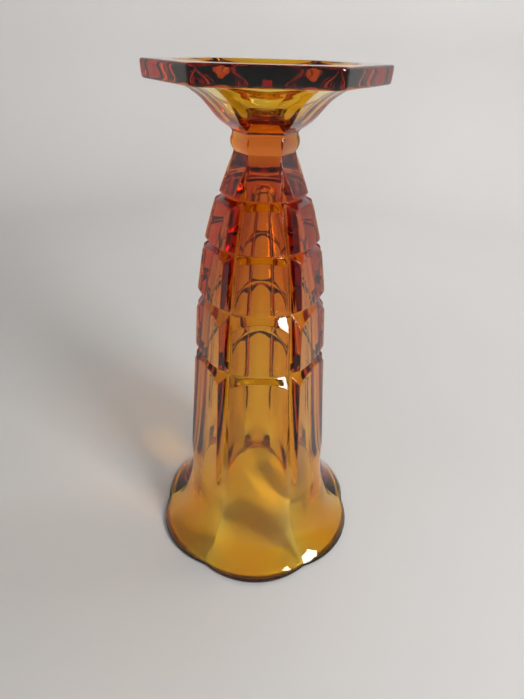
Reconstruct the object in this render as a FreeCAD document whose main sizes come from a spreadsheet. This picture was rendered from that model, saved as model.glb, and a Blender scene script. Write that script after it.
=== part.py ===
"""Pressed glass candlestick: a hexagonal dish on a faceted trumpet, a knop collar, and a hollow
six-sided body of four tiers and a fluted column that opens into a bell standing on its rim.

Millimetres, +Z up.  The origin is on the axis, on the surface that the rim stands on, and the
middle of one of the six panels faces -Y.
"""
import FreeCAD, Part
import math
import os
import Sketcher

os.makedirs("parts", exist_ok=True)
doc = FreeCAD.newDocument("candlestick")

# ---------------------------------------------------------------------------
# Driving dimensions.  A "reach" is the distance from the axis to the line that
# joins the two lips of a flute, a "root" is the distance to a groove's bottom,
# and a "corner" is the distance to a corner of a hexagon.
# ---------------------------------------------------------------------------
SIZES = {
    # hexagonal dish
    "dish_top": 248.0,
    "dish_thickness": 7.0,
    "dish_corner": 50.0,
    "dish_draft": 3.0,
    "dish_corner_round": 4.0,
    "dish_edge_round": 0.8,
    "bowl_mouth": 36.5,
    "bowl_knee": 240.0,
    "bowl_knee_radius": 24.0,
    "bowl_floor": 229.0,
    "bowl_floor_radius": 12.5,
    # faceted trumpet under the dish, from the collar up
    "trumpet2_height": 225.3,
    "trumpet2_corner": 16.9,
    "trumpet3_height": 227.5,
    "trumpet3_corner": 19.9,
    "trumpet4_height": 231.0,
    "trumpet4_corner": 23.0,
    "trumpet5_height": 234.6,
    "trumpet5_corner": 25.9,
    "trumpet6_height": 238.0,
    "trumpet6_corner": 30.8,
    "trumpet7_height": 241.5,
    "trumpet7_corner": 38.5,
    # knop collar between the dish and the body
    "collar_top": 223.2,
    "collar_bottom": 215.6,
    "collar_neck_corner": 13.15,
    "collar_belly_corner": 14.9,
    # six flutes, one down each corner
    "flute_half_width": 3.4,
    "flute_depth": 4.1,
    "flute_start_height": 210.7,
    "flute_start_reach": 15.0,
    "crease_half_width": 0.25,
    "crease_depth": 0.25,
    # tiers, counted from the top
    "tier1_bottom": 199.2,
    "tier1_bottom_reach": 19.6,
    "tier2_top": 195.0,
    "tier2_top_reach": 21.9,
    "tier2_bottom": 178.7,
    "tier2_bottom_reach": 26.5,
    "tier3_top": 173.3,
    "tier3_top_reach": 27.7,
    "tier3_bottom": 152.9,
    "tier3_bottom_reach": 30.8,
    "tier4_top": 143.3,
    "tier4_top_reach": 31.7,
    "tier4_bottom": 121.6,
    "tier4_bottom_reach": 33.2,
    "column_top": 113.2,
    "column_top_reach": 34.0,
    # turned rings between the tiers, each one's bottom
    "ring1_root": 17.0,
    "ring1_height": 197.6,
    "ring2_root": 23.2,
    "ring2_height": 176.6,
    "ring3_root": 27.1,
    "ring3_height": 150.3,
    "ring4_root": 29.1,
    "ring4_height": 118.6,
    # column and bell
    "column_taper": 0.0702,
    "flare_reach": 21.5,
    "flare_height": 13.0,
    "panel_bulge": 0.3,
    "lobe_rise": 5.6,
    "lobe_fade": 2.4,
    "rim_lobe": 59.2,
    "rim_notch": 56.0,
    "rim_height": 2.5,
    "rim_round": 1.8,
    # inside of the body, open at the rim
    "cavity_waist_radius": 30.2,
    "cavity_waist_height": 58.0,
    "cavity_taper": 0.085,
    "cavity_flare": 17.6,
    "cavity_flare_height": 18.5,
    "cavity_shoulder_height": 113.2,
    "cavity_shoulder_curve": 0.0019,
    "cavity_top": 200.5,
    "cavity_top_round": 5.0,
}

# Heights of the column's and the bell's sections, as shares of the column's height.
BELL_SHARES = (1.0, 0.75, 0.55, 0.45, 0.37, 0.3, 0.24, 0.18, 0.13, 0.095, 0.067, 0.045)
# Heights of the cavity's sections, as shares of the height where its top starts to round.
CAVITY_SHARES = (0.0, 0.02, 0.045, 0.075, 0.11, 0.15, 0.2, 0.28, 0.42, 0.69, 0.8, 0.9, 1.0)
# Where the column turns into the bell: (from height, to height) of each change.
PANEL_TO_LOBE = (70.0, 24.0)
FLUTE_TO_CREASE = (52.0, 31.0)
DEEP_TO_SHALLOW = (105.0, 31.0)
LOBE_TO_RIM = (7.0, 1.0)

SIDES = 6
SIN30 = 0.5
COS30 = 0.8660254
OVERLAP = 1.0
# How far a closed flute's corner stands out of the line between its lips, in half widths.
CLOSED_FLUTE = 0.1
# A ring's cut runs out to this many times the reach of the lip below it.
CUT_CLEAR = 1.1
# Turns from the cavity's wall at which its rounded top has a section, in degrees.
TOP_TURNS = (45.0, 90.0)

sheet = doc.addObject("Spreadsheet::Sheet", "Sizes")
for row, (alias, number) in enumerate(SIZES.items(), start=1):
    sheet.set("A%d" % row, alias)
    sheet.set("B%d" % row, str(number))
    sheet.setAlias("B%d" % row, alias)
doc.recompute()


class Dim:
    """A number together with the sheet expression that gives it."""

    def __init__(self, value, text=None):
        self.value = value
        self.text = text or repr(value)

    def __add__(self, other):
        other = as_dim(other)
        return Dim(self.value + other.value, "(%s + %s)" % (self.text, other.text))

    def __sub__(self, other):
        other = as_dim(other)
        return Dim(self.value - other.value, "(%s - %s)" % (self.text, other.text))

    def __mul__(self, other):
        other = as_dim(other)
        return Dim(self.value * other.value, "(%s * %s)" % (self.text, other.text))

    def __truediv__(self, other):
        other = as_dim(other)
        return Dim(self.value / other.value, "(%s / %s)" % (self.text, other.text))

    def __neg__(self):
        return Dim(-self.value, "(0 - %s)" % self.text)


def as_dim(number):
    return number if isinstance(number, Dim) else Dim(float(number))


def size(alias):
    return Dim(SIZES[alias], "Sizes." + alias)


def falling(height, scale):
    """exp(-height / scale), the way a flare dies away up a wall."""
    ratio = height / scale
    return Dim(math.exp(-ratio.value), "exp(0 - %s)" % ratio.text)


def change(height, limits):
    """0 above the first height, 1 below the second, and a smooth step between them."""
    start, end = limits
    share = min(1.0, max(0.0, (start - height.value) / (start - end)))
    return share * share * (3.0 - 2.0 * share)


def between(first, second, share):
    return first * (1.0 - share) + second * share


# ---------------------------------------------------------------------------
# Bodies, sketches and features
# ---------------------------------------------------------------------------
def new_body(label):
    body = doc.addObject("PartDesign::Body", label)
    body.Label = label
    return body


def origin_feature(body, role):
    return next(item for item in body.Origin.OriginFeatures if item.Role == role)


def new_sketch(body, name, role="XY_Plane", height=None):
    sketch = body.newObject("Sketcher::SketchObject", name)
    sketch.AttachmentSupport = [(origin_feature(body, role), "")]
    sketch.MapMode = "FlatFace"
    if height is not None:
        sketch.setExpression(".AttachmentOffset.Base.z", height.text)
    return sketch


def bind(sketch, constraint, text):
    index = sketch.addConstraint(constraint)
    sketch.setExpression("Constraints[%d]" % index, text)


def fix_start(sketch, edge, x, y):
    """Hold the start of an edge at (x, y) from the sketch's origin."""
    for kind, place, axis in (("DistanceX", x, -2), ("DistanceY", y, -1)):
        if place.value == 0.0:
            sketch.addConstraint(Sketcher.Constraint("PointOnObject", edge, 1, axis))
        elif place.value > 0.0:
            rule = Sketcher.Constraint(kind, -1, 1, edge, 1, place.value)
            bind(sketch, rule, place.text)
        else:
            rule = Sketcher.Constraint(kind, edge, 1, -1, 1, -place.value)
            bind(sketch, rule, (-place).text)


def draw_outline(sketch, points, arc_edge=None, arc_rise=None):
    """Close a loop through the points; one edge may be an arc that rises from its chord."""
    corners = [FreeCAD.Vector(x.value, y.value, 0.0) for x, y in points]
    for edge, start in enumerate(corners):
        end = corners[(edge + 1) % len(corners)]
        if edge == arc_edge:
            crest = (start + end) * 0.5 - FreeCAD.Vector(0.0, arc_rise.value, 0.0)
            sketch.addGeometry(Part.Arc(start, crest, end))
        else:
            sketch.addGeometry(Part.LineSegment(start, end))
    for edge in range(len(corners)):
        following = (edge + 1) % len(corners)
        sketch.addConstraint(Sketcher.Constraint("Coincident", edge, 2, following, 1))
    for edge, (x, y) in enumerate(points):
        fix_start(sketch, edge, x, y)
    if arc_edge is not None:
        half_chord = points[arc_edge + 1][0]
        radius = (half_chord * half_chord + arc_rise * arc_rise) / (arc_rise * 2.0)
        bind(sketch, Sketcher.Constraint("Radius", arc_edge, radius.value), radius.text)


def hexagon_sketch(body, name, height, corner):
    """A hexagon with a flat side towards -Y."""
    sketch = new_sketch(body, name, height=height)
    points = []
    for side in range(SIDES):
        angle = math.radians(30.0 + 60.0 * side)
        x = round(math.sin(angle), 7)
        y = round(-math.cos(angle), 7)
        points.append((corner * x if x else as_dim(0.0), corner * y if y else as_dim(0.0)))
    draw_outline(sketch, points)
    return sketch


def sector_sketch(body, name, height, reach, half_width, root, middle):
    """One sixth of the fluted body: half a flute, a panel, and half a flute."""
    lip_x = reach * SIN30 - half_width * COS30
    lip_y = reach * COS30 + half_width * SIN30
    root_x = root * SIN30
    root_y = root * COS30
    centre = as_dim(0.0)
    points = [
        (centre, centre),
        (-root_x, -root_y),
        (-lip_x, -lip_y),
        (lip_x, -lip_y),
        (root_x, -root_y),
    ]
    rise = None if middle is None else middle - lip_y
    sketch = new_sketch(body, name, height=height)
    draw_outline(sketch, points, None if middle is None else 2, rise)
    return sketch


def loft(body, name, sketches, ruled, subtractive=False):
    kind = "PartDesign::SubtractiveLoft" if subtractive else "PartDesign::AdditiveLoft"
    feature = body.newObject(kind, name)
    feature.Profile = sketches[0]
    feature.Sections = sketches[1:]
    feature.Ruled = ruled
    doc.recompute()
    return feature


def turned_cut(body, name, points):
    """Turn a closed outline of (radius, height) points about the axis and take it away."""
    before = body.Shape.Volume
    sketch = new_sketch(body, name + "_outline", role="XZ_Plane")
    draw_outline(sketch, points)
    groove = body.newObject("PartDesign::Groove", name)
    groove.Profile = sketch
    groove.ReferenceAxis = (origin_feature(body, "Z_Axis"), [""])
    groove.Angle = 360.0
    doc.recompute()
    if not body.Shape.Volume < before - 1.0:
        raise RuntimeError(name + " took nothing away")
    return groove


def round_edges(body, name, base, edges, alias):
    fillet = body.newObject("PartDesign::Fillet", name)
    fillet.Base = (base, edges)
    fillet.setExpression("Radius", "Sizes." + alias)
    doc.recompute()
    return fillet


def edges_where(shape, test):
    return ["Edge%d" % number for number, edge in enumerate(shape.Edges, start=1) if test(edge)]


# ---------------------------------------------------------------------------
# Hexagonal dish: a thick plate with rounded corners on a faceted trumpet, with
# a funnel-shaped bowl sunk into its top.
# ---------------------------------------------------------------------------
def make_hex_dish():
    body = new_body("hex_dish")
    outline = hexagon_sketch(body, "plate_outline", size("dish_top"), size("dish_corner"))
    plate = body.newObject("PartDesign::Pad", "plate")
    plate.Profile = outline
    plate.setExpression("Length", "Sizes.dish_thickness")
    plate.setExpression("TaperAngle", "0 - Sizes.dish_draft")
    plate.Reversed = True
    doc.recompute()

    plate_floor = SIZES["dish_top"] - SIZES["dish_thickness"]
    upright = edges_where(plate.Shape, lambda edge: edge.BoundBox.ZLength > 1.0)
    corners = round_edges(body, "plate_corners", plate, upright, "dish_corner_round")
    level = edges_where(corners.Shape, lambda edge: edge.BoundBox.ZLength < 0.01)
    round_edges(body, "plate_edges", corners, level, "dish_edge_round")

    stages = [(size("collar_top"), size("collar_neck_corner"))]
    for stage in range(2, 8):
        stages.append((size("trumpet%d_height" % stage), size("trumpet%d_corner" % stage)))
    sections = []
    for number, (height, corner) in enumerate(stages, start=1):
        sections.append(hexagon_sketch(body, "trumpet_section%d" % number, height, corner))
    loft(body, "trumpet", sections, ruled=False)

    top = size("dish_top")
    axis = as_dim(0.0)
    turned_cut(body, "bowl", [
        (axis, size("bowl_floor")),
        (size("bowl_floor_radius"), size("bowl_floor")),
        (size("bowl_knee_radius"), size("bowl_knee")),
        (size("bowl_mouth"), top),
        (size("bowl_mouth"), top + OVERLAP),
        (axis, top + OVERLAP),
    ])
    if not body.Shape.BoundBox.ZMin < plate_floor:
        raise RuntimeError("the trumpet is missing")
    return body


# ---------------------------------------------------------------------------
# Knop collar: a six-sided bead of glass that joins the dish to the body.
# ---------------------------------------------------------------------------
def make_knop_collar():
    body = new_body("knop_collar")
    bottom = size("collar_bottom")
    rise = size("collar_top") - bottom
    neck = size("collar_neck_corner")
    belly = size("collar_belly_corner")
    swell = ((0.0, 0.0), (0.2, 0.72), (0.5, 1.0), (0.8, 0.72), (1.0, 0.0))
    sections = []
    for number, (level, share) in enumerate(swell, start=1):
        height = bottom + rise * level
        corner = between(neck, belly, share)
        sections.append(hexagon_sketch(body, "collar_section%d" % number, height, corner))
    loft(body, "collar", sections, ruled=False)
    return body


# ---------------------------------------------------------------------------
# Tiered bell: the hollow body.  One sixth is lofted and repeated round the
# axis, then the rings between the tiers are turned and the inside is taken out.
# ---------------------------------------------------------------------------
def crease_distance(height):
    """From the axis to a crease of the bell, and to a flute's bottom at the column's top."""
    top_root = size("column_top_reach") - size("flute_depth")
    straight = top_root + (size("column_top") - height) * size("column_taper")
    return straight + size("flare_reach") * falling(height, size("flare_height"))


def column_section(body, number, share):
    """A flute that closes to a crease, and a panel that swells to a lobe, on the way down."""
    height = size("column_top") * share
    crease = crease_distance(height)
    open_share = 1.0 - change(height, FLUTE_TO_CREASE)
    deep_share = 1.0 - change(height, DEEP_TO_SHALLOW)
    half_width = between(size("crease_half_width"), size("flute_half_width"), open_share)
    reach = crease + between(size("crease_depth"), size("flute_depth"), open_share)
    root = reach - between(size("crease_depth"), size("flute_depth"), deep_share)
    panel = reach * COS30 + half_width * SIN30 + size("panel_bulge")
    lobe = crease + size("lobe_rise") - size("lobe_fade") * change(height, LOBE_TO_RIM)
    middle = between(panel, lobe, change(height, PANEL_TO_LOBE))
    name = "column_section%d" % number
    return sector_sketch(body, name, height, reach, half_width, root, middle)


def rim_section(body, name, height, inset):
    """The scalloped rim: a lobe between two notches."""
    notch = size("rim_notch") - inset
    lobe = size("rim_lobe") - inset
    half_width = size("crease_half_width")
    reach = notch + half_width
    return sector_sketch(body, name, height, reach, half_width, notch, lobe)


def cavity_radius(height):
    rise = height - size("cavity_waist_height")
    straight = size("cavity_waist_radius") - rise * size("cavity_taper")
    radius = straight + size("cavity_flare") * falling(height, size("cavity_flare_height"))
    if height.value > SIZES["cavity_shoulder_height"]:
        above = height - size("cavity_shoulder_height")
        radius = radius - above * above * size("cavity_shoulder_curve")
    return radius


def circle_sketch(body, name, height, radius):
    sketch = new_sketch(body, name, height=height)
    sketch.addGeometry(Part.Circle(FreeCAD.Vector(), FreeCAD.Vector(0, 0, 1), radius.value))
    sketch.addConstraint(Sketcher.Constraint("Coincident", 0, 3, -1, 1))
    bind(sketch, Sketcher.Constraint("Radius", 0, radius.value), radius.text)
    return sketch


def make_tiered_bell():
    body = new_body("tiered_bell")
    depth = size("flute_depth")
    wide = size("flute_half_width")
    narrow = size("crease_half_width")

    neck_reach = size("collar_neck_corner") - narrow
    start_reach = size("flute_start_reach")
    neck = [
        sector_sketch(body, "neck_top", size("collar_bottom"), neck_reach, narrow,
                      neck_reach + narrow * CLOSED_FLUTE, None),
        sector_sketch(body, "neck_foot", size("flute_start_height"), start_reach, narrow,
                      start_reach + narrow * CLOSED_FLUTE, None),
    ]
    tier_levels = ("tier1_bottom", "tier2_top", "tier2_bottom", "tier3_top", "tier3_bottom",
                   "tier4_top", "tier4_bottom", "column_top")
    stack = [neck[1]]
    for level in tier_levels:
        reach = size(level + "_reach")
        name = level + "_section"
        stack.append(sector_sketch(body, name, size(level), reach, wide, reach - depth, None))
    wedges = [loft(body, "neck", neck, ruled=True), loft(body, "tiers", stack, ruled=True)]

    bell = [column_section(body, number, share)
            for number, share in enumerate(BELL_SHARES, start=1)]
    bell.append(rim_section(body, "rim_crest", size("rim_height"), as_dim(0.0)))
    wedges.append(loft(body, "column_and_bell", bell, ruled=True))
    rim_top = rim_section(body, "rim_top", size("rim_height"), as_dim(0.0))
    rim_foot = rim_section(body, "rim_foot", as_dim(0.0), size("rim_round"))
    wedges.append(loft(body, "rim", [rim_top, rim_foot], ruled=True))

    sector_volume = body.Shape.Volume
    pattern = body.newObject("PartDesign::PolarPattern", "six_sides")
    pattern.Originals = wedges
    pattern.Axis = (origin_feature(body, "Z_Axis"), [""])
    pattern.Angle = 360.0
    pattern.Occurrences = SIDES
    body.Tip = pattern
    doc.recompute()
    if abs(body.Shape.Volume / sector_volume - SIDES) > 0.02:
        raise RuntimeError("the six sides don't add up")

    ring_edges = (("tier1_bottom", "tier2_top"), ("tier2_bottom", "tier3_top"),
                  ("tier3_bottom", "tier4_top"), ("tier4_bottom", "column_top"))
    for number, (upper, lower) in enumerate(ring_edges, start=1):
        root = size("ring%d_root" % number)
        root_height = size("ring%d_height" % number)
        upper_reach = size(upper + "_reach")
        lower_reach = size(lower + "_reach")
        clear = lower_reach * CUT_CLEAR
        upper_slope = (size(upper) - root_height) / (upper_reach - root)
        lower_slope = (root_height - size(lower)) / (lower_reach - root)
        turned_cut(body, "ring%d" % number, [
            (root, root_height),
            (clear, root_height - (clear - root) * lower_slope),
            (clear, root_height + (clear - root) * upper_slope),
        ])

    before = body.Shape.Volume
    sections = []
    top_start = size("cavity_top") - size("cavity_top_round")
    for number, share in enumerate(CAVITY_SHARES, start=1):
        height = top_start * share if share else as_dim(0.0)
        radius = cavity_radius(height)
        sections.append(circle_sketch(body, "cavity_section%d" % number, height, radius))
    wall_radius = cavity_radius(top_start)
    for number, turn in enumerate(TOP_TURNS, start=1):
        height = top_start + size("cavity_top_round") * math.sin(math.radians(turn))
        inset = size("cavity_top_round") * (1.0 - math.cos(math.radians(turn)))
        name = "cavity_top_section%d" % number
        sections.append(circle_sketch(body, name, height, wall_radius - inset))
    loft(body, "cavity", sections, ruled=True, subtractive=True)
    doc.recompute()
    if not body.Shape.Volume < 0.7 * before:
        raise RuntimeError("the cavity is missing")
    return body


bodies = [make_hex_dish(), make_knop_collar(), make_tiered_bell()]
doc.recompute()

for item in doc.Objects:
    if "Invalid" in item.State or "Error" in item.State:
        raise RuntimeError("%s failed: %s" % (item.Label, item.State))

for body in bodies:
    shape = body.Shape
    if shape.isNull() or not shape.isValid() or len(shape.Solids) != 1:
        raise RuntimeError(body.Label + " is not one valid solid")
    box = shape.BoundBox
    print("%-12s %8.1f mm3  x %.2f..%.2f  y %.2f..%.2f  z %.2f..%.2f" % (
        body.Label, shape.Volume, box.XMin, box.XMax, box.YMin, box.YMax, box.ZMin, box.ZMax))
    shape.exportStep("parts/%s.step" % body.Label)
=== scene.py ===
# %% [markdown]
# # A pressed glass candlestick
# The real object is amber glass all through: a hexagonal dish on a faceted trumpet, a knop, and a
# hollow six-sided body in four tiers that runs down into a fluted column and a scalloped bell.
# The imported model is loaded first, because the heights of the dish, knop and bell come from it.

# %% Load the frame
import math

import bmesh
import bpy
from mathutils import Matrix, Vector


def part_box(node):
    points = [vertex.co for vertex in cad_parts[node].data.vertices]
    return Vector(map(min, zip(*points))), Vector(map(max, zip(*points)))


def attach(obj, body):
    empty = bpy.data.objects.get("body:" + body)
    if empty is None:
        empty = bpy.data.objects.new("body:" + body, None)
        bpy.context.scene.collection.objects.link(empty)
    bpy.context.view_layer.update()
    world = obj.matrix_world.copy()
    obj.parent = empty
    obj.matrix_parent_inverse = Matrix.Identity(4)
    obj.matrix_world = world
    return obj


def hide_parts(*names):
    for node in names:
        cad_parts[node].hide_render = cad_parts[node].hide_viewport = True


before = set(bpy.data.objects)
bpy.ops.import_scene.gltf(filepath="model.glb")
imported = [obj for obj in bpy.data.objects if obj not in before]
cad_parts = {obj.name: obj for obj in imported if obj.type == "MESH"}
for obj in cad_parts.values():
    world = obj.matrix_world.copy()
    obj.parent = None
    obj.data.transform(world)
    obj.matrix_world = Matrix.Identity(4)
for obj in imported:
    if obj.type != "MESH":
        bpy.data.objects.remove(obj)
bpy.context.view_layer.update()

MM = 0.001
dish_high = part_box("hex_dish")[1]
knop_low, knop_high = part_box("knop_collar")


# %% [markdown]
# ## How the glass is modelled
# All six sides are alike, and each side is the same left and right, so only one twelfth of the
# surface is modelled: a strip from the middle of a panel to the bottom of a flute. The strip
# starts as a small flat grid and is extruded row by row: from the top of the cavity down the
# inside, round the rim, up the outside, over the dish and down into its bowl. After each
# extrusion the row's points are moved to their level's outline. A lathe spin would be quicker,
# but it only makes round things, and this body has flat panels and sharp flutes.
#
# An outline is a list of points, each given as (across the panel, out from the axis). All of
# these sizes are in millimetres, and a place on the profile is given as (height, out).

# %% The columns of the strip, and a round outline
SIDES = 6
HALF_SIDE = math.pi / SIDES
PANEL_SHARES = (0.0, 0.14, 0.28, 0.42, 0.56, 0.70, 0.84)
CORNER_STEPS = 4
COLUMNS = len(PANEL_SHARES) + 2 + CORNER_STEPS


def circle(radius):
    """A round outline."""
    angles = [HALF_SIDE * column / (COLUMNS - 1) for column in range(COLUMNS)]
    return [(radius * math.sin(angle), radius * math.cos(angle)) for angle in angles]


def level(outline, height):
    """A row of the strip: an outline laid flat at a height."""
    return [(across, out, height) for across, out in outline]


print("columns in one twelfth:", COLUMNS)


# %% [markdown]
# ## Inside: the cavity
# A plunger pressed the inside, so it is round and smooth: a small rounded top, a shoulder that
# draws in through the tiers, an easy taper down the column, and a flare to the foot. Its height
# and curve decide how the tiers look from outside, because every facet shows the cavity's wall
# through itself.

# %% Rows of the cavity, from the middle of its top down to the foot
COLUMN_TOP = (113.2, 34.0)
WAIST = (58.0, 30.2)
CAVITY_TAPER = 0.085
CAVITY_FLARE = 17.6
CAVITY_FLARE_HEIGHT = 18.5
SHOULDER_CURVE = 0.0019
CAVITY_TOP = 200.5
TOP_ROUND = 5.0
TOP_SHARES = (0.0, 0.5, 0.9)
ROUND_STEPS = 5
CAVITY_SHARES = (1.0, 0.9, 0.8, 0.69, 0.55, 0.42, 0.28, 0.2, 0.15, 0.11, 0.075, 0.045, 0.02)


def cavity_radius(height):
    """An easy taper, a flare at the foot, and a shoulder that draws in above the column."""
    taper = WAIST[1] - CAVITY_TAPER * (height - WAIST[0])
    flare = CAVITY_FLARE * math.exp(-height / CAVITY_FLARE_HEIGHT)
    shoulder = SHOULDER_CURVE * max(0.0, height - COLUMN_TOP[0]) ** 2
    return taper + flare - shoulder


rows = []
wall_top = CAVITY_TOP - TOP_ROUND
flat_radius = cavity_radius(wall_top) - TOP_ROUND
for share in TOP_SHARES:
    rows.append(level(circle(flat_radius * share), CAVITY_TOP))
for step in range(ROUND_STEPS):
    turn = 0.5 * math.pi * step / ROUND_STEPS
    radius = flat_radius + TOP_ROUND * math.sin(turn)
    rows.append(level(circle(radius), wall_top + TOP_ROUND * math.cos(turn)))
for share in CAVITY_SHARES:
    rows.append(level(circle(cavity_radius(wall_top * share)), wall_top * share))
print("rows in the cavity:", len(rows))


# %% [markdown]
# ## Panels and flutes
# Every level of the body outside has the same plan: a panel with a lip at each end, and a V
# flute between two lips, which has its bottom on a corner. Three distances set it: the reach
# from the axis to the line between the lips, the flute's half width and its depth. The panel
# may bulge to its middle as an arc. A point close to each lip keeps that edge crisp later on,
# when the mesh is subdivided.

# %% Half a panel and one wall of a flute
SIN30 = math.sin(HALF_SIDE)
COS30 = math.cos(HALF_SIDE)
SOFT_EDGE = 0.5
MOST_EDGE_SHARE = 0.25
LEAST_BULGE = 0.001


def fluted(reach, half_width, depth, middle=0.0):
    """Half a panel, bulging to its middle, and one wall of the flute beside it."""
    lip = Vector((reach * SIN30 - half_width * COS30, reach * COS30 + half_width * SIN30))
    root = Vector(((reach - depth) * SIN30, (reach - depth) * COS30))
    bulge = max(middle - lip.y, LEAST_BULGE)
    radius = (lip.x ** 2 + bulge ** 2) / (2.0 * bulge)
    points = []
    for share in PANEL_SHARES + (1.0 - SOFT_EDGE / lip.x, 1.0):
        across = lip.x * share
        points.append((across, lip.y + bulge - radius + math.sqrt(radius ** 2 - across ** 2)))
    edge = min(MOST_EDGE_SHARE, SOFT_EDGE / (root - lip).length)
    for share in (edge, 0.5, 1.0 - edge, 1.0):
        points.append(tuple(lip.lerp(root, share)))
    return points


print("points in a fluted outline:", len(fluted(COLUMN_TOP[1], 1.0, 1.0)))


# %% [markdown]
# ## The foot and the scalloped bell
# The glass stands on a narrow flat rim with six lobes. Above it, each lobe is an arc from crease
# to crease. Higher up, the lobes flatten into the panels of the column and the creases open
# into flutes, so a few smooth changes with height give the whole bell.

# %% Outlines of the column, the bell and the rim
TAPER = 0.0702
FLARE_REACH = 21.5
FLARE_HEIGHT = 13.0
# Half width and depth.
FLUTE = (3.4, 4.1)
CREASE = (0.1, 0.1)
# The heights between which each change happens.
CREASE_TO_FLUTE = (31.0, 52.0)
SHALLOW_TO_DEEP = (31.0, 105.0)
LOBE_TO_PANEL = (24.0, 70.0)
LOBE_TO_RIM = (7.0, 1.0)
LOBE_RISE = 5.6
LOBE_FADE = 2.4
PANEL_BULGE = 0.3
RIM_NOTCH = 56.0
RIM_LOBE = 59.2


def smooth(start, end, height):
    """0 at the start height, 1 at the end height, with a smooth turn at both."""
    share = min(1.0, max(0.0, (height - start) / (end - start)))
    return share * share * (3.0 - 2.0 * share)


def between(first, second, share):
    """A value on the way from the first to the second."""
    return first + (second - first) * share


def column_outline(height):
    """The outline of the bell and the column at a height."""
    to_flute = smooth(*CREASE_TO_FLUTE, height)
    half_width = between(CREASE[0], FLUTE[0], to_flute)
    crease = COLUMN_TOP[1] - FLUTE[1] + TAPER * (COLUMN_TOP[0] - height)
    crease += FLARE_REACH * math.exp(-height / FLARE_HEIGHT)
    lip = crease + between(CREASE[1], FLUTE[1], to_flute)
    depth = between(CREASE[1], FLUTE[1], smooth(*SHALLOW_TO_DEEP, height))
    panel = lip * COS30 + half_width * SIN30 + PANEL_BULGE
    lobe = crease + LOBE_RISE - LOBE_FADE * smooth(*LOBE_TO_RIM, height)
    middle = between(lobe, panel, smooth(*LOBE_TO_PANEL, height))
    return fluted(lip, half_width, depth, middle)


def rim_outline(inset):
    """The six lobes of the rim, taken in all round by an inset."""
    notch = RIM_NOTCH - inset
    return fluted(notch + CREASE[1], CREASE[0], CREASE[1], RIM_LOBE - inset)


panel_out = column_outline(COLUMN_TOP[0])[0][1]
print("middle of a panel at the column's top:", round(panel_out, 1), "mm out")

# %% Rows of the foot, the rim and the bell
RIM_HEIGHT = 2.5
RIM_ROUND = 1.8
# Out from the cavity's wall, and height.
FOOT_CURVE = ((-0.1, 0.8), (0.2, 0.15), (0.7, 0.0))
# In from the rim's outside, and height, as shares of the rim's rounding.
RIM_CURVE = ((1.0, 0.0), (0.6, 0.08), (0.3, 0.3), (0.08, 0.6), (0.0, 1.0))
BELL_SHARES = (0.045, 0.067, 0.095, 0.13, 0.18, 0.24, 0.3, 0.37, 0.45, 0.55, 0.75, 0.93)

for outset, height in FOOT_CURVE:
    rows.append(level(circle(cavity_radius(0.0) + outset), height))
for inset, rise in RIM_CURVE:
    rows.append(level(rim_outline(RIM_ROUND * inset), RIM_ROUND * rise))
rows.append(level(rim_outline(0.0), RIM_HEIGHT))
for share in BELL_SHARES:
    rows.append(level(column_outline(COLUMN_TOP[0] * share), COLUMN_TOP[0] * share))
print("rows up to the column:", len(rows))


# %% [markdown]
# ## Four tiers and the rings between them
# Between the tiers the mould cut turned V rings. A turned cut through a flat panel comes out
# narrower in the middle of the panel than at its lips, so the edge of each ring is a shallow
# curve. Each column of the strip finds its own place on the cut by halving a range until the cut
# and the uncut body meet.

# %% Outlines of the tiers, which are counted from the top
KNOP_FOOT = knop_low.z / MM
NECK_CORNER = 13.15
FLUTE_TOP = 210.7
CLOSED_FLUTE = (0.25, 0.2)
TIERS = (
    ((199.2, 19.6), (KNOP_FOOT, NECK_CORNER)),
    ((178.7, 26.5), (195.0, 21.9)),
    ((152.9, 30.8), (173.3, 27.7)),
    ((121.6, 33.2), (143.3, 31.7)),
)


def tier_outline(number, height):
    """The outline of a tier at a height, taken straight on past its edges where a ring needs it."""
    (foot, foot_reach), (head, head_reach) = TIERS[number]
    reach = between(foot_reach, head_reach, (height - foot) / (head - foot))
    if number > 0:
        return fluted(reach, *FLUTE)
    open_share = min(1.0, (FLUTE_TOP - height) / (FLUTE_TOP - foot))
    half_width = between(CLOSED_FLUTE[0], FLUTE[0], open_share)
    return fluted(reach, half_width, between(CLOSED_FLUTE[1], FLUTE[1], open_share))


def body_outline(part, height):
    """The outline of a tier, or of the column, which comes after the last tier."""
    return column_outline(height) if part == len(TIERS) else tier_outline(part, height)


print("tiers:", len(TIERS), "from", TIERS[-1][0][0], "to", round(TIERS[0][1][0], 1), "mm")

# %% Rows on a ring's cut
LEAST_SHARE = 0.12
HALVINGS = 20


def edge_shares(part, root, lip):
    """How far out along a ring's cut each column comes to the uncut body."""
    shares = []
    for column in range(COLUMNS):
        inner, outer = 0.0, 1.0
        for halving in range(HALVINGS):
            share = 0.5 * (inner + outer)
            across, out = body_outline(part, between(root[0], lip[0], share))[column]
            if math.hypot(across, out) > between(root[1], lip[1], share):
                inner = share
            else:
                outer = share
        shares.append(max(inner, LEAST_SHARE))
    return shares


def cut_row(part, root, lip, shares, part_way):
    """A row of points on a ring's cut, from its edge at 1 to the bottom of the V at 0."""
    row = []
    for column, share in enumerate(shares):
        height = between(root[0], lip[0], part_way * share)
        across, out = body_outline(part, height)[column]
        shrink = min(1.0, between(root[1], lip[1], part_way * share) / math.hypot(across, out))
        row.append((across * shrink, out * shrink, height))
    return row


def row_beside(part, edge, step):
    """A row on the uncut body, a small step from a ring's edge, which keeps that edge crisp."""
    return [
        (*body_outline(part, point[2] + step)[column], point[2] + step)
        for column, point in enumerate(edge)
    ]


print("a cut's edge is found to within 1 part in", 2 ** HALVINGS)

# %% Rows of the rings and the tiers
RING_ROOTS = ((197.6, 17.0), (176.6, 23.2), (150.3, 27.1), (118.6, 29.1))
RING_SHARES = (0.82, 0.2)

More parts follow.
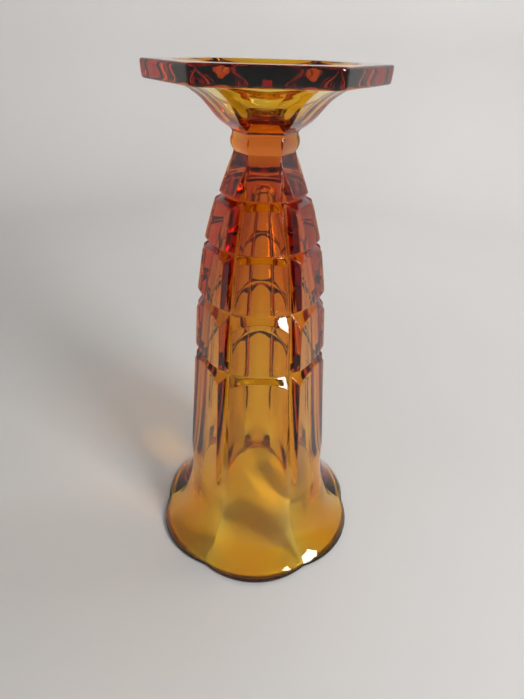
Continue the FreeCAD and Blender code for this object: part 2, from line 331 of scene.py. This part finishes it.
for number in reversed(range(len(TIERS))):
    below = number + 1
    root = RING_ROOTS[number]
    lip_below = COLUMN_TOP if below == len(TIERS) else TIERS[below][1]
    lip_above = TIERS[number][0]
    shares = edge_shares(below, root, lip_below)
    edge = cut_row(below, root, lip_below, shares, 1.0)
    rows.append(row_beside(below, edge, -SOFT_EDGE))
    rows.append(edge)
    for part_way in RING_SHARES:
        rows.append(cut_row(below, root, lip_below, shares, part_way))
    rows.append(cut_row(below, root, lip_below, shares, 0.0))
    shares = edge_shares(number, root, lip_above)
    for part_way in reversed(RING_SHARES):
        rows.append(cut_row(number, root, lip_above, shares, part_way))
    edge = cut_row(number, root, lip_above, shares, 1.0)
    rows.append(edge)
    rows.append(row_beside(number, edge, SOFT_EDGE))
    if number > 0:
        middle_height = 0.5 * (TIERS[number][0][0] + TIERS[number][1][0])
        rows.append(level(tier_outline(number, middle_height), middle_height))
print("rows up to tier 1:", len(rows))


# %% [markdown]
# ## The neck, the knop and the trumpet
# Above the flutes everything is hexagonal. The knop swells and closes again between two tight
# necks, and the trumpet opens in a curve until it meets the underside of the dish.

# %% Rows from tier 1 to the dish
FACET_ROUND = 0.7
FLUTED_NECK = (203.0, 207.0, FLUTE_TOP - 0.8, FLUTE_TOP)
PLAIN_NECK = (FLUTE_TOP + 0.8, 213.5, KNOP_FOOT - 0.3)
KNOP_HEAD = knop_high.z / MM
KNOP_START = 0.1
KNOP_BELLY = 1.75
KNOP_SWELL = ((0.2, 0.72), (0.5, 1.0), (0.8, 0.72), (1.0, 0.0))
TRUMPET = ((225.3, 16.9), (227.5, 19.9), (231.0, 23.0), (234.6, 25.9), (238.0, 30.8), (240.5, 36.6))


def hexagon(corner, corner_round):
    """A hexagonal outline with rounded corners, given its reach at a sharp corner."""
    flat = corner * COS30
    straight = (corner - corner_round / COS30) * SIN30
    points = [(straight * share, flat) for share in PANEL_SHARES + (0.92, 1.0)]
    for step in range(1, CORNER_STEPS + 1):
        angle = HALF_SIDE * step / CORNER_STEPS
        across = straight + corner_round * math.sin(angle)
        points.append((across, flat - corner_round + corner_round * math.cos(angle)))
    return points


for height in FLUTED_NECK:
    rows.append(level(tier_outline(0, height), height))
(foot, foot_reach), (head, head_reach) = TIERS[0]
for height in PLAIN_NECK:
    corner = between(foot_reach, head_reach, (height - foot) / (head - foot))
    rows.append(level(hexagon(corner, FACET_ROUND), height))
rows.append(level(hexagon(NECK_CORNER, FACET_ROUND), KNOP_FOOT + KNOP_START))
for share, swell in KNOP_SWELL:
    corner = NECK_CORNER + KNOP_BELLY * swell
    rows.append(level(hexagon(corner, FACET_ROUND), between(KNOP_FOOT, KNOP_HEAD, share)))
for height, corner in TRUMPET:
    rows.append(level(hexagon(corner, FACET_ROUND), height))
print("rows up to the dish:", len(rows))


# %% [markdown]
# ## The dish and its bowl
# The dish is a thick hexagonal plate with softly rounded corners and edges. The round bowl sunk
# into it is a shallow funnel down to a knee, and a steeper wall from there to a small flat
# floor. Each edge of the plate is a quarter round of three rows. The last row closes at a point
# in the middle of the floor.

# %% Rows of the plate, from the trumpet out round its edge to the bowl
DISH_TOP = dish_high.z / MM
DISH_UNDERSIDE = DISH_TOP - 7.0
DISH_CORNER = 50.0
DISH_DRAFT = math.tan(math.radians(3.0))
CORNER_ROUND = 4.0
EDGE_ROUND = 0.9
QUARTER_ROUND = ((1.0, 0.0), (0.3, 0.3), (0.0, 1.0))
# Corner, and how far it is rounded.
TRUMPET_MOUTH = ((38.2, 1.0), (39.2, 1.4))


def dish_row(inset, height):
    """A row on the plate's side, taken in by an inset and by the mould's draft."""
    draft = DISH_DRAFT * (DISH_TOP - height)
    return level(hexagon(DISH_CORNER - (inset + draft) / COS30, CORNER_ROUND), height)


for corner, corner_round in TRUMPET_MOUTH:
    rows.append(level(hexagon(corner, corner_round), DISH_UNDERSIDE))
rows.append(dish_row(2.0 * EDGE_ROUND, DISH_UNDERSIDE))
for inset, rise in QUARTER_ROUND:
    rows.append(dish_row(EDGE_ROUND * inset, DISH_UNDERSIDE + EDGE_ROUND * rise))
rows.append(dish_row(0.0, 0.5 * (DISH_TOP + DISH_UNDERSIDE)))
for inset, rise in reversed(QUARTER_ROUND):
    rows.append(dish_row(EDGE_ROUND * inset, DISH_TOP - EDGE_ROUND * rise))
rows.append(dish_row(2.0 * EDGE_ROUND, DISH_TOP))
print("rows up to the top of the dish:", len(rows))

# %% Rows of the bowl
BOWL_MOUTH = (DISH_TOP, 36.5)
BOWL_KNEE = (240.0, 24.0)
BOWL_FLOOR = (229.0, 12.5)
BOWL_LIPS = (1.0, 0.2)
BOWL_SHARES = (0.03, 0.1, 0.5, 0.85)
FLOOR_SHARES = (0.9, 0.5, 0.0)

for outset in BOWL_LIPS:
    rows.append(level(circle(BOWL_MOUTH[1] + outset), DISH_TOP))
for start, end in ((BOWL_MOUTH, BOWL_KNEE), (BOWL_KNEE, BOWL_FLOOR)):
    for share in BOWL_SHARES:
        radius = between(start[1], end[1], share)
        rows.append(level(circle(radius), between(start[0], end[0], share)))
for share in FLOOR_SHARES:
    rows.append(level(circle(share * BOWL_FLOOR[1]), BOWL_FLOOR[0]))
print("rows in all:", len(rows))


# %% [markdown]
# ## Extrude the strip
# The grid's two long edges become the first two rows. From then on the last row is extruded and
# each of its points is moved to its place on the next outline. An operator acts on what is
# selected, so the points are selected by number first, and an extrusion leaves its new points
# selected, which is how they are found again.

# %% Select, place and extrude a row
def edit_points():
    """The mesh that is being edited, with its points ready to be used by number."""
    mesh = bmesh.from_edit_mesh(bpy.context.edit_object.data)
    mesh.verts.ensure_lookup_table()
    return mesh


def select_points(numbers):
    """Select these points and nothing else."""
    bpy.ops.mesh.select_all(action="DESELECT")
    mesh = edit_points()
    for number in numbers:
        mesh.verts[number].select = True
    mesh.select_flush(True)


def place_row(numbers, row):
    """Move each point of a row to its place; a panel's middle looks along -Y."""
    for number, (across, out, height) in zip(numbers, row):
        target = Vector((across, -out, height)) * MM
        step = target - edit_points().verts[number].co
        select_points([number])
        bpy.ops.transform.translate(value=step)


def extrude_row(numbers):
    """Extrude a row and give the new points in the same order."""
    select_points(numbers)
    bpy.ops.mesh.extrude_region_move()
    mesh = edit_points()
    fresh = []
    for number in numbers:
        ends = [edge.other_vert(mesh.verts[number]) for edge in mesh.verts[number].link_edges]
        fresh.append(next(end.index for end in ends if end.select))
    return fresh


print("rows to extrude:", len(rows) - 2)

# %% The strip, row by row
bpy.ops.object.select_all(action="DESELECT")
bpy.ops.mesh.primitive_grid_add(x_subdivisions=COLUMNS - 1, y_subdivisions=1, size=0.01)
glass = bpy.context.object
glass.name = "pressed_glass"
glass.data.name = "pressed_glass"
bpy.ops.object.mode_set(mode="EDIT")
bpy.ops.mesh.select_mode(type="VERT")
place_row(range(COLUMNS), rows[0])
last_row = list(range(COLUMNS, 2 * COLUMNS))
place_row(last_row, rows[1])
for row in rows[2:]:
    last_row = extrude_row(last_row)
    place_row(last_row, row)
print("points in the strip:", len(edit_points().verts))


# %% [markdown]
# ## Twelve strips make the whole
# The strip is copied and mirrored across the middle of its panel, and that pair is copied five
# times round the axis. Merging the doubles closes the seams and the two poles. One level of
# subdivision then rounds the curves and softens every edge, as fire polishing does.

# %% Mirror, copy round and merge
SEAM = 0.002 * MM
bpy.ops.mesh.select_all(action="SELECT")
bpy.ops.mesh.duplicate()
bpy.ops.transform.resize(value=(-1.0, 1.0, 1.0), center_override=(0.0, 0.0, 0.0))
bpy.ops.mesh.select_all(action="SELECT")
bpy.ops.mesh.spin(
    steps=SIDES - 1, dupli=True, angle=math.tau * (SIDES - 1) / SIDES,
    center=(0.0, 0.0, 0.0), axis=(0.0, 0.0, 1.0),
)
bpy.ops.mesh.select_all(action="SELECT")
bpy.ops.mesh.remove_doubles(threshold=SEAM)
bpy.ops.mesh.normals_make_consistent(inside=False)
bpy.ops.object.mode_set(mode="OBJECT")
print("faces before the polish:", len(glass.data.polygons))

# %% Polish and measure
polish = glass.modifiers.new("fire_polish", "SUBSURF")
polish.levels = 1
polish.render_levels = 1
bpy.ops.object.modifier_apply(modifier=polish.name)
bpy.ops.object.shade_smooth()
bpy.ops.object.transform_apply(location=True, rotation=True, scale=True)

check = bmesh.new()
check.from_mesh(glass.data)
open_edges = sum(1 for edge in check.edges if not edge.is_manifold)
print("open edges:", open_edges, "faces:", len(check.faces))
print("glass in cubic centimetres:", round(check.calc_volume(signed=True) * 1e6, 1))
check.free()


# %% [markdown]
# ## Amber glass
# The colour is in the glass, not on it: a thin wall is yellow and a thick one goes through
# orange to dark red, because blue and green light are swallowed first. So the surface is clear
# glass and an absorption node colours the inside. The polish isn't perfect: slow waves from the
# mould and a fine chill pattern bend the reflections a little.

# %% The glass material
def new_material(name):
    """A node material with nothing in it yet."""
    material = bpy.data.materials.new(name)
    material.use_nodes = True
    material.node_tree.nodes.clear()
    return material


def make_amber_glass():
    """Clear polished glass with the colour inside, faint streaks, mould waves and chill."""
    material = new_material("amber_pressed_glass")
    tree = material.node_tree
    output = tree.nodes.new("ShaderNodeOutputMaterial")
    surface = tree.nodes.new("ShaderNodeBsdfPrincipled")
    surface.inputs["Transmission Weight"].default_value = 1.0
    surface.inputs["Roughness"].default_value = 0.015
    surface.inputs["IOR"].default_value = 1.52
    tree.links.new(surface.outputs["BSDF"], output.inputs["Surface"])

    inside = tree.nodes.new("ShaderNodeVolumeAbsorption")
    inside.inputs["Color"].default_value = (0.963, 0.812, 0.0, 1.0)
    inside.inputs["Density"].default_value = 400.0
    tree.links.new(inside.outputs["Volume"], output.inputs["Volume"])

    place = tree.nodes.new("ShaderNodeTexCoord")
    streaks = tree.nodes.new("ShaderNodeTexNoise")
    streaks.inputs["Scale"].default_value = 45.0
    streaks.inputs["Detail"].default_value = 3.0
    tint = tree.nodes.new("ShaderNodeValToRGB")
    tint.color_ramp.elements[0].color = (1.0, 0.985, 0.95, 1.0)
    tint.color_ramp.elements[1].color = (1.0, 1.0, 0.99, 1.0)
    tree.links.new(place.outputs["Object"], streaks.inputs["Vector"])
    tree.links.new(streaks.outputs["Fac"], tint.inputs["Fac"])
    tree.links.new(tint.outputs["Color"], surface.inputs["Base Color"])

    waves = tree.nodes.new("ShaderNodeTexNoise")
    waves.inputs["Scale"].default_value = 90.0
    waves.inputs["Detail"].default_value = 2.0
    slow = tree.nodes.new("ShaderNodeBump")
    slow.inputs["Strength"].default_value = 0.25
    slow.inputs["Distance"].default_value = 0.0004
    chill = tree.nodes.new("ShaderNodeTexNoise")
    chill.inputs["Scale"].default_value = 700.0
    chill.inputs["Detail"].default_value = 2.0
    fine = tree.nodes.new("ShaderNodeBump")
    fine.inputs["Strength"].default_value = 0.12
    fine.inputs["Distance"].default_value = 0.00004
    tree.links.new(place.outputs["Object"], waves.inputs["Vector"])
    tree.links.new(place.outputs["Object"], chill.inputs["Vector"])
    tree.links.new(waves.outputs["Fac"], slow.inputs["Height"])
    tree.links.new(chill.outputs["Fac"], fine.inputs["Height"])
    tree.links.new(slow.outputs["Normal"], fine.inputs["Normal"])
    tree.links.new(fine.outputs["Normal"], surface.inputs["Normal"])
    return material


glass.data.materials.append(make_amber_glass())
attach(glass, "root")
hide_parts("hex_dish", "knop_collar", "tiered_bell")
print("glass rides on root and stands for the three CAD nodes")


# %% [markdown]
# ## A pale floor that curves up
# Glass shows whatever stands round it, so the floor is as much a light source as the lamps are.
# A wide pale disc whose edge curves up into a wall gives every facet something soft to show,
# from any side.

# %% Floor and cove
FLOOR_RADIUS = 0.7
COVE_RADIUS = 0.25
COVE_STEPS = 8
COVE_WALL = 0.75


def make_floor_paper():
    """Matt paper that is a little cloudy."""
    material = new_material("pale_paper")
    tree = material.node_tree
    output = tree.nodes.new("ShaderNodeOutputMaterial")
    surface = tree.nodes.new("ShaderNodeBsdfPrincipled")
    surface.inputs["Roughness"].default_value = 0.75
    tree.links.new(surface.outputs["BSDF"], output.inputs["Surface"])
    place = tree.nodes.new("ShaderNodeTexCoord")
    clouds = tree.nodes.new("ShaderNodeTexNoise")
    clouds.inputs["Scale"].default_value = 3.0
    tone = tree.nodes.new("ShaderNodeValToRGB")
    tone.color_ramp.elements[0].color = (0.60, 0.585, 0.57, 1.0)
    tone.color_ramp.elements[1].color = (0.66, 0.65, 0.64, 1.0)
    tree.links.new(place.outputs["Object"], clouds.inputs["Vector"])
    tree.links.new(clouds.outputs["Fac"], tone.inputs["Fac"])
    tree.links.new(tone.outputs["Color"], surface.inputs["Base Color"])
    return material


bpy.ops.object.select_all(action="DESELECT")
bpy.ops.mesh.primitive_circle_add(vertices=96, radius=FLOOR_RADIUS, fill_type="NGON")
floor = bpy.context.object
floor.name = "pale_floor"
bpy.ops.object.mode_set(mode="EDIT")
bpy.ops.mesh.select_mode(type="EDGE")
bpy.ops.mesh.select_all(action="SELECT")
bpy.ops.mesh.region_to_loop()
reach, rise = FLOOR_RADIUS, 0.0
for step in range(1, COVE_STEPS + 1):
    turn = 0.5 * math.pi * step / COVE_STEPS
    next_reach = FLOOR_RADIUS + COVE_RADIUS * math.sin(turn)
    next_rise = COVE_RADIUS * (1.0 - math.cos(turn))
    bpy.ops.mesh.extrude_edges_move()
    bpy.ops.transform.translate(value=(0.0, 0.0, next_rise - rise))
    grow = next_reach / reach
    bpy.ops.transform.resize(value=(grow, grow, 1.0), center_override=(0.0, 0.0, 0.0))
    reach, rise = next_reach, next_rise
bpy.ops.mesh.extrude_edges_move()
bpy.ops.transform.translate(value=(0.0, 0.0, COVE_WALL))
bpy.ops.object.mode_set(mode="OBJECT")
bpy.ops.object.shade_smooth()
floor.data.materials.append(make_floor_paper())
print("floor reaches", round(reach, 3), "m and rises", round(rise + COVE_WALL, 3), "m")


# %% [markdown]
# ## Light
# One soft window-sized light stands in front on the right. Two more brighten the wall behind
# and the wall in front, and a pale sky comes in over the top. The lights stay out of the
# picture, but the glass reflects the window as small bright patches.

# %% Light
SKY_STRENGTH = 0.1


def soft_light(name, place, target, width, height, energy):
    """A rectangular light that points at its target and isn't seen by the camera."""
    bpy.ops.object.light_add(type="AREA", location=place)
    light = bpy.context.object
    light.name = name
    light.data.shape = "RECTANGLE"
    light.data.size = width
    light.data.size_y = height
    light.data.energy = energy
    light.visible_camera = False
    direction = Vector(target) - Vector(place)
    light.rotation_euler = direction.to_track_quat("-Z", "Y").to_euler()
    return light


soft_light("window_light", place=(0.46, -0.46, 0.48), target=(0.0, 0.0, 0.12),
           width=0.22, height=0.3, energy=4.5)
soft_light("back_light", place=(0.4, 0.2, 0.95), target=(0.4, 0.9, 0.6),
           width=0.9, height=0.3, energy=7.8)
soft_light("front_light", place=(0.0, -0.2, 0.95), target=(0.0, -0.95, 0.6),
           width=1.2, height=0.3, energy=1.8)

world = bpy.context.scene.world or bpy.data.worlds.new("studio")
bpy.context.scene.world = world
world.use_nodes = True
sky = world.node_tree.nodes["Background"]
sky.inputs["Color"].default_value = (1.0, 0.99, 0.97, 1.0)
sky.inputs["Strength"].default_value = SKY_STRENGTH

# %% [markdown]
# ## Camera
# The camera is close, with a wide lens, a little above the dish. It looks down by about a third
# of a right angle, so the dish shows edge on and the foot is seen from above. It has a slight
# roll.

# %% Camera
EYE_BACK = 0.2178
EYE_HEIGHT = 0.2529
EYE_ROUND = math.radians(-0.39)
LOOK_DOWN = math.radians(32.06)
LOOK_RIGHT = math.radians(0.34)
ROLL = math.radians(1.69)

bpy.ops.object.camera_add()
camera = bpy.context.object
camera.name = "camera"
camera.data.sensor_width = 36.0
camera.data.lens = 24.98
camera.data.clip_start = 0.01
turn_round = Matrix.Rotation(EYE_ROUND, 4, "Z")
camera.matrix_world = (
    turn_round
    @ Matrix.Translation((0.0, -EYE_BACK, EYE_HEIGHT))
    @ Matrix.Rotation(-LOOK_RIGHT, 4, "Z")
    @ Matrix.Rotation(0.5 * math.pi - LOOK_DOWN, 4, "X")
    @ Matrix.Rotation(ROLL, 4, "Z")
)
bpy.context.scene.camera = camera
print("camera at", [round(value, 3) for value in camera.matrix_world.translation])

# %% [markdown]
# ## How deep the light is followed
# A ray that crosses this glass meets many walls, front and back, and each one bends it or
# reflects it. With too few bounces the thick parts come out black, so the limits are raised. The
# Standard view keeps the amber as saturated as it is.

# %% Bounces and view
LIGHT_BOUNCES = 24

scene = bpy.context.scene
scene.view_settings.view_transform = "Standard"
scene.cycles.max_bounces = LIGHT_BOUNCES
scene.cycles.transmission_bounces = LIGHT_BOUNCES
scene.cycles.blur_glossy = 0.0
print("bounces followed:", LIGHT_BOUNCES)
